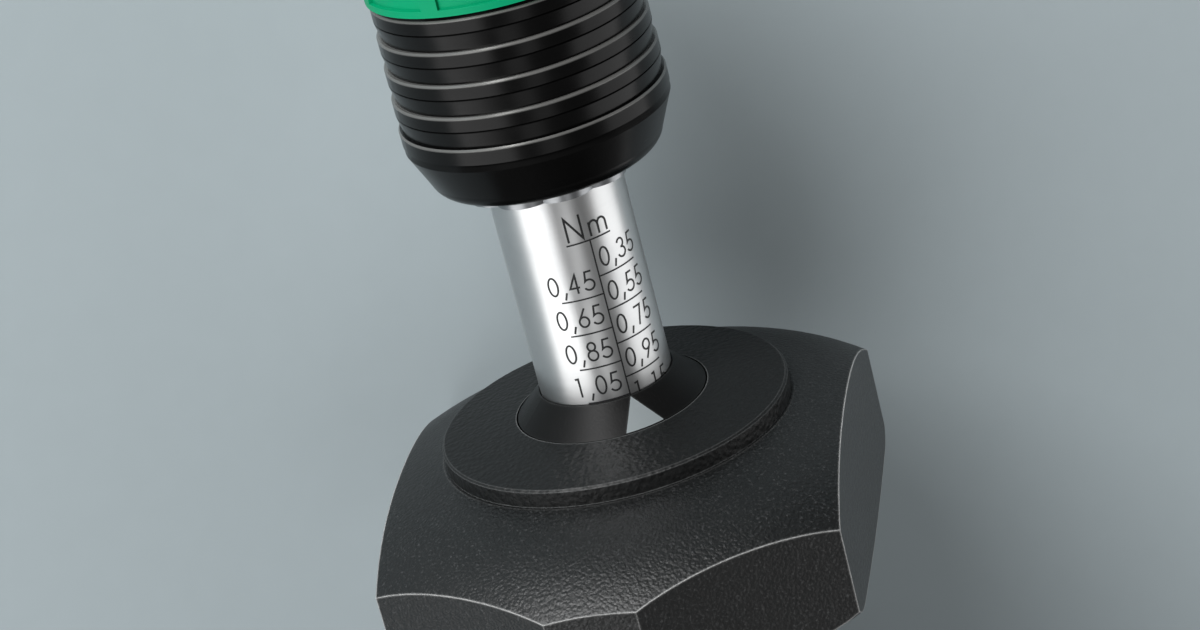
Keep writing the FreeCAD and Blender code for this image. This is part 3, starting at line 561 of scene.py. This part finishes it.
@dataclass
class PrintedScale:
    """The scale printed on the sleeve: labels, their underlines and the reading line."""

    radius: float = 4.6
    height: float = 0.014
    sunk: float = 0.02
    line_turn: float = 90.9
    digit_width: float = 0.135
    unit_width: float = 0.15
    rule_width: float = 0.105
    pitch: float = 2.5
    right_start: float = 0.32
    left_start: float = -3.61
    advances: tuple[float, ...] = (0.0, 1.02, 1.49, 2.46)
    gap: float = 0.49
    right_first: float = 11.20
    left_first: float = 9.95
    right_labels: tuple[str, ...] = ("0,35", "0,55", "0,75", "0,95", "1,15")
    left_labels: tuple[str, ...] = ("0,45", "0,65", "0,85", "1,05")
    strokes: list[tuple[Stroke, float]] = field(default_factory=list)

    def wrap(self, point: Point, lift: float) -> Vector:
        """Lay a point of the flat print on the sleeve."""
        turn = math.radians(self.line_turn) + point[0] / self.radius
        radius = (self.radius + lift) * MM
        return Vector((
            DISC_PLACE + point[1] * MM, radius * math.cos(turn), AXIS_HEIGHT + radius * math.sin(turn)))

    def rule(self, start: Point, end: Point) -> None:
        """Rule a line, in parts short enough to follow the sleeve."""
        steps = max(1, round(math.dist(start, end) / 0.12))
        line = [tuple(a + (b - a) * step / steps for a, b in zip(start, end)) for step in range(steps + 1)]
        self.strokes.append((line, self.rule_width))

    def letter(self, glyph: str, left: float, base: float, width: float) -> None:
        """Add one glyph's strokes."""
        for stroke in GLYPHS[glyph]:
            self.strokes.append(([(left + x, base + y) for x, y in stroke], width))

    def label(self, words: str, left: float, underline: float) -> None:
        """Add a label's glyphs above its underline."""
        for glyph, advance in zip(words, self.advances):
            self.letter(glyph, left + advance, underline + self.gap, self.digit_width)

    def lay_out(self) -> None:
        """Work out every stroke of the scale."""
        top = Along.SCALE_TOP.value
        self.rule((0.0, top), (0.0, -2.0))
        self.rule((-1.62, top), (1.62, top))
        self.letter("N", -1.46, top + 0.2, self.unit_width)
        self.letter("m", 0.18, top + 0.2, self.unit_width)
        for row, words in enumerate(self.right_labels):
            underline = self.right_first - self.pitch * row
            self.rule((0.0, underline), (3.16, underline))
            self.label(words, self.right_start, underline)
        for row, words in enumerate(self.left_labels):
            underline = self.left_first - self.pitch * row
            self.rule((-2.9, underline), (0.0, underline))
            self.label(words, self.left_start, underline)

    def ribbon(self, mesh: bmesh.types.BMesh, stroke: Stroke, width: float) -> None:
        """Raise one stroke as a closed band with mitred corners."""
        dense = [stroke[0]]
        for start, end in zip(stroke, stroke[1:]):
            steps = max(1, round(math.dist(start, end) / 0.25))
            dense += [
                (start[0] + (end[0] - start[0]) * step / steps, start[1] + (end[1] - start[1]) * step / steps)
                for step in range(1, steps + 1)]
        closed = math.dist(dense[0], dense[-1]) < 1e-6
        if closed:
            dense = dense[:-1]
        count = len(dense)
        rows = []
        for index, point in enumerate(dense):
            before = dense[index - 1] if closed or index else None
            after = dense[(index + 1) % count] if closed or index < count - 1 else None
            rows.append(self.section(mesh, before, point, after, width))
        spans = range(count if closed else count - 1)
        for index in spans:
            first, second = rows[index], rows[(index + 1) % count]
            for side in range(4):
                following = (side + 1) % 4
                mesh.faces.new((first[side], first[following], second[following], second[side]))
        if not closed:
            mesh.faces.new(rows[0][::-1])
            mesh.faces.new(rows[-1])

    def section(self, mesh: bmesh.types.BMesh, before: Point | None, point: Point, after: Point | None,
                width: float) -> list[bmesh.types.BMVert]:
        """Return the four corners of a band at one point of its stroke."""
        here = Vector(point)
        ways = []
        if before is not None:
            ways.append((here - Vector(before)).normalized())
        if after is not None:
            ways.append((Vector(after) - here).normalized())
        way = (ways[0] + ways[-1]).normalized()
        side = Vector((-way.y, way.x))
        straight = Vector((-ways[0].y, ways[0].x))
        reach = width / 2 / max(0.35, side.dot(straight))
        left, right = here + side * reach, here - side * reach
        spots = [(left, self.height), (right, self.height), (right, -self.sunk), (left, -self.sunk)]
        return [mesh.verts.new(self.wrap((spot.x, spot.y), lift)) for spot, lift in spots]

    def build(self) -> bpy.types.Object:
        """Build the print as one piece on the scale sleeve."""
        self.lay_out()
        mesh = bmesh.new()
        for stroke, width in self.strokes:
            self.ribbon(mesh, stroke, width)
        bmesh.ops.recalc_face_normals(mesh, faces=mesh.faces)
        data = bpy.data.meshes.new("scale_print")
        mesh.to_mesh(data)
        mesh.free()
        piece = bpy.data.objects.new("scale_print", data)
        bpy.context.scene.collection.objects.link(piece)
        data.materials.append(SCALE_INK.material())
        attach(piece, "scale_sleeve")
        LOG.info("scale_print: %d strokes", len(self.strokes))
        return piece


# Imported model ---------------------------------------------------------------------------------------


class PackedModel:
    """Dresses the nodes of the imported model."""

    def dress(self) -> None:
        """Give every node the finish of its slot."""
        made = {item.slot: item.finish.material() for item in Slot}
        slots = {part["node"]: part["material_slot"] for part in frame["record"]["subparts"]}
        for name, node in frame["nodes"].items():
            material = made[slots[name]]
            if not node.data.materials:
                node.data.materials.append(material)
            for index in range(len(node.material_slots)):
                node.material_slots[index].material = material
            LOG.info("%s: %s", name, material.name)


@dataclass(frozen=True)
class FollowingSpring:
    """A packed coil spring, copied as one fixed piece in place of the packed one."""

    node: str
    held_by: str
    pushed_by: str
    held_end: float
    pushed_end: float

    def build(self) -> None:
        """Copy the spring's wire as a fixed piece and hide the packed spring."""
        packed = frame["nodes"][self.node]
        piece = bpy.data.objects.new(f"{self.node}_coil", packed.data.copy())
        piece.matrix_world = packed.matrix_world.copy()
        bpy.context.scene.collection.objects.link(piece)
        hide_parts(self.node)
        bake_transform(piece)
        LOG.info("%s: follows %s", piece.name, self.pushed_by)


SPRINGS = (
    FollowingSpring("main_spring", "handle", "clutch_driver", -17.0, -47.0),
    FollowingSpring("chuck_spring", "shaft", "spring_ring", 40.3, 35.3),
)


# Studio ---------------------------------------------------------------------------------------------


@dataclass(frozen=True)
class SoftLight:
    """A large area light that faces a point on the tool."""

    name: str
    place: tuple[float, float, float]
    target: tuple[float, float, float]
    size: tuple[float, float]
    power: float

    def build(self) -> None:
        """Add the light."""
        data = bpy.data.lights.new(self.name, "AREA")
        data.shape = "RECTANGLE"
        data.size, data.size_y = self.size
        data.energy = self.power
        light = bpy.data.objects.new(self.name, data)
        light.location = self.place
        way = Vector(self.target) - Vector(self.place)
        light.rotation_euler = way.to_track_quat("-Z", "Y").to_euler()
        bpy.context.scene.collection.objects.link(light)


@dataclass(frozen=True)
class Studio:
    """The floor, the lights, the surrounding light and the camera."""

    floor_colour: Colour = linear(158, 169, 173)
    floor_size: float = 6.0
    world_strength: float = 0.12
    focal: float = 98.287
    sensor: float = 36.0
    distance: tuple[float, float, float] = (1.0713, 7.0004, 256.7651)
    unit: float = 0.876 * MM
    tip_way: tuple[float, float, float] = (-0.235296, -0.893421, -0.382669)
    level: tuple[float, float, float] = (-0.967025, 0.254681, 0.0)
    near: tuple[float, float, float] = (-0.097458, -0.370051, 0.923886)
    row_turn: float = -15.1
    lights: tuple[SoftLight, ...] = (
        SoftLight("left_box", (-0.20, 0.56, 0.20), (0.03, 0.0, 0.02), (0.36, 0.75), 2.2),
        SoftLight("right_box", (-0.20, -0.50, 0.27), (0.03, 0.0, 0.02), (0.6, 0.5), 1.6),
        SoftLight("top_strip", (-0.22, 0.13, 0.55), (0.03, 0.0, 0.02), (0.16, 0.5), 0.28),
        SoftLight("front_box", (0.46, 0.30, 0.27), (0.03, 0.0, 0.02), (0.3, 0.26), 5.2),
    )

    def across(self, turn: float) -> Vector:
        """Return a direction across the axis, seen from the camera."""
        angle = math.radians(turn)
        return Vector(self.level) * math.cos(angle) + Vector(self.near) * math.sin(angle)

    def build_camera(self) -> None:
        """Add the camera where the tool is seen from in front of its collar and above."""
        along = Vector(self.tip_way)
        side = self.across(self.row_turn)
        up = self.across(self.row_turn - 90)
        disc = Vector(self.distance) * self.unit
        axes = [along, side, up]
        spot = Vector([-disc.dot(axis) for axis in axes]) + Vector((DISC_PLACE, 0.0, AXIS_HEIGHT))
        columns = [
            [axis[0] for axis in axes], [-axis[1] for axis in axes], [-axis[2] for axis in axes]]
        turn = Matrix(columns).transposed()
        data = bpy.data.cameras.new("camera")
        data.lens = self.focal
        data.sensor_width = self.sensor
        data.clip_start = 0.01
        data.clip_end = 20.0
        camera = bpy.data.objects.new("camera", data)
        camera.matrix_world = Matrix.Translation(spot) @ turn.to_4x4()
        bpy.context.scene.collection.objects.link(camera)
        bpy.context.scene.camera = camera

    def build_floor(self) -> None:
        """Add the floor that the tool lies on."""
        mesh = bmesh.new()
        bmesh.ops.create_grid(mesh, x_segments=1, y_segments=1, size=self.floor_size / 2)
        data = bpy.data.meshes.new("floor")
        mesh.to_mesh(data)
        mesh.free()
        floor = bpy.data.objects.new("floor", data)
        bpy.context.scene.collection.objects.link(floor)
        shop = Shop("floor_paper")
        fleck = shop.noise(shop.place(), 2.5 * MM, 2.0)
        pale = tuple(part * 1.04 for part in self.floor_colour[:3]) + (1.0,)
        data.materials.append(shop.finish({
            "Base Color": shop.blend(fleck, self.floor_colour, pale), "Roughness": 0.9}))

    def build_world(self) -> None:
        """Set the surrounding light."""
        world = bpy.data.worlds.new("studio")
        world.use_nodes = True
        background = world.node_tree.nodes["Background"]
        background.inputs["Color"].default_value = (1.0, 1.0, 1.0, 1.0)
        background.inputs["Strength"].default_value = self.world_strength
        bpy.context.scene.world = world

    def build(self) -> None:
        """Build the whole studio."""
        self.build_floor()
        self.build_world()
        for light in self.lights:
            light.build()
        self.build_camera()
        bpy.context.scene.view_settings.view_transform = "Standard"


def main() -> None:
    """Dress the model, then build the springs, the scale print and the studio."""
    logging.basicConfig(level=logging.INFO, format="%(name)s: %(message)s")
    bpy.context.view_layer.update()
    PackedModel().dress()
    for spring in SPRINGS:
        spring.build()
    PrintedScale().build()
    Studio().build()


if __name__ == "__main__":
    main()
